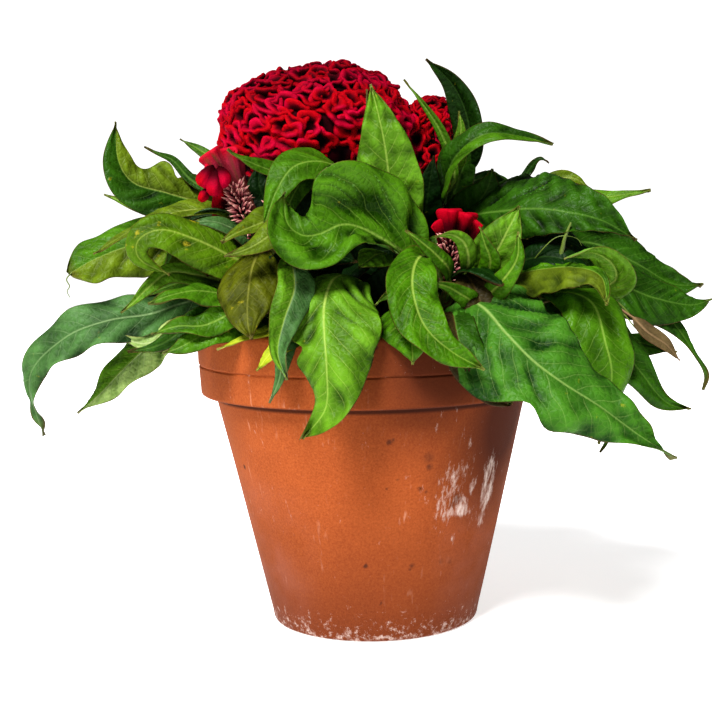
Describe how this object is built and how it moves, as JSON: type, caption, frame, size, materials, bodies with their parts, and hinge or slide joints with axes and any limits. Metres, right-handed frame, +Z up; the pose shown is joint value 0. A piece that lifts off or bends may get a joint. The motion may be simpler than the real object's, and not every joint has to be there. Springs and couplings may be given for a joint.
{
  "type": "cockscomb celosia in a flowerpot",
  "caption": "Cockscomb celosia with a brain-like crimson crest, small side combs and arching green leaves, growing in a terracotta flowerpot.",
  "frame": {"origin": "centre of the pot's foot, on the surface it stands on; the leaves spread evenly about it", "axes": "+Z up along the pot's axis, +X along the widest spread of leaves, -Y towards the front of the plant"},
  "size_m": [0.3799, 0.2556, 0.3235],
  "materials": {
    "terracotta": "matte",
    "soil": "matte",
    "stem": "satin",
    "leaf": "satin",
    "crest": "matte"
  },
  "bodies": {
    "root": {"flowerpot": "terracotta", "potting_soil": "soil", "main_stem": "stem", "left_shoot": "stem", "left_front_shoot": "stem", "front_shoot": "stem", "right_shoot": "stem", "right_low_shoot": "stem", "right_back_shoot": "stem", "back_shoot": "stem", "left_back_shoot": "stem", "main_crest": "crest", "back_crest": "crest", "left_comb": "crest", "small_comb": "crest", "leaf_front_hanging": "leaf", "leaf_front_cupped": "leaf", "leaf_crest_spear": "leaf", "leaf_arched_fold": "leaf", "leaf_under_crest": "leaf", "leaf_left_pointed": "leaf", "leaf_brown_tip": "leaf", "leaf_hanging_narrow": "leaf", "leaf_olive_broad": "leaf", "leaf_glossy_dark": "leaf", "leaf_light_curved": "leaf", "leaf_over_rim": "leaf", "leaf_upright_point": "leaf", "leaf_rolled": "leaf", "leaf_front_large": "leaf", "leaf_right_under": "leaf", "leaf_right_curl": "leaf", "leaf_right_large": "leaf", "leaf_right_arched": "leaf", "leaf_back_tall": "leaf", "leaf_right_light": "leaf", "leaf_far_right_upper": "leaf", "leaf_far_right_lower": "leaf", "leaf_right_tendril": "leaf", "leaf_right_dark": "leaf", "leaf_right_low": "leaf", "leaf_left_curled_tip": "leaf", "leaf_left_big": "leaf", "leaf_left_long": "leaf", "leaf_left_spotted": "leaf", "leaf_left_narrow": "leaf", "leaf_left_bottom_big": "leaf", "leaf_left_arch": "leaf", "leaf_left_pale_hanging": "leaf", "leaf_left_rim": "leaf", "leaf_back_left_high": "leaf", "leaf_back_left_mid": "leaf", "leaf_back_left_up": "leaf", "leaf_back_centre": "leaf", "leaf_back_low": "leaf", "leaf_back_mid": "leaf", "leaf_back_right_high": "leaf", "leaf_back_right_low": "leaf", "leaf_right_side": "leaf"}
  },
  "joints": []
}
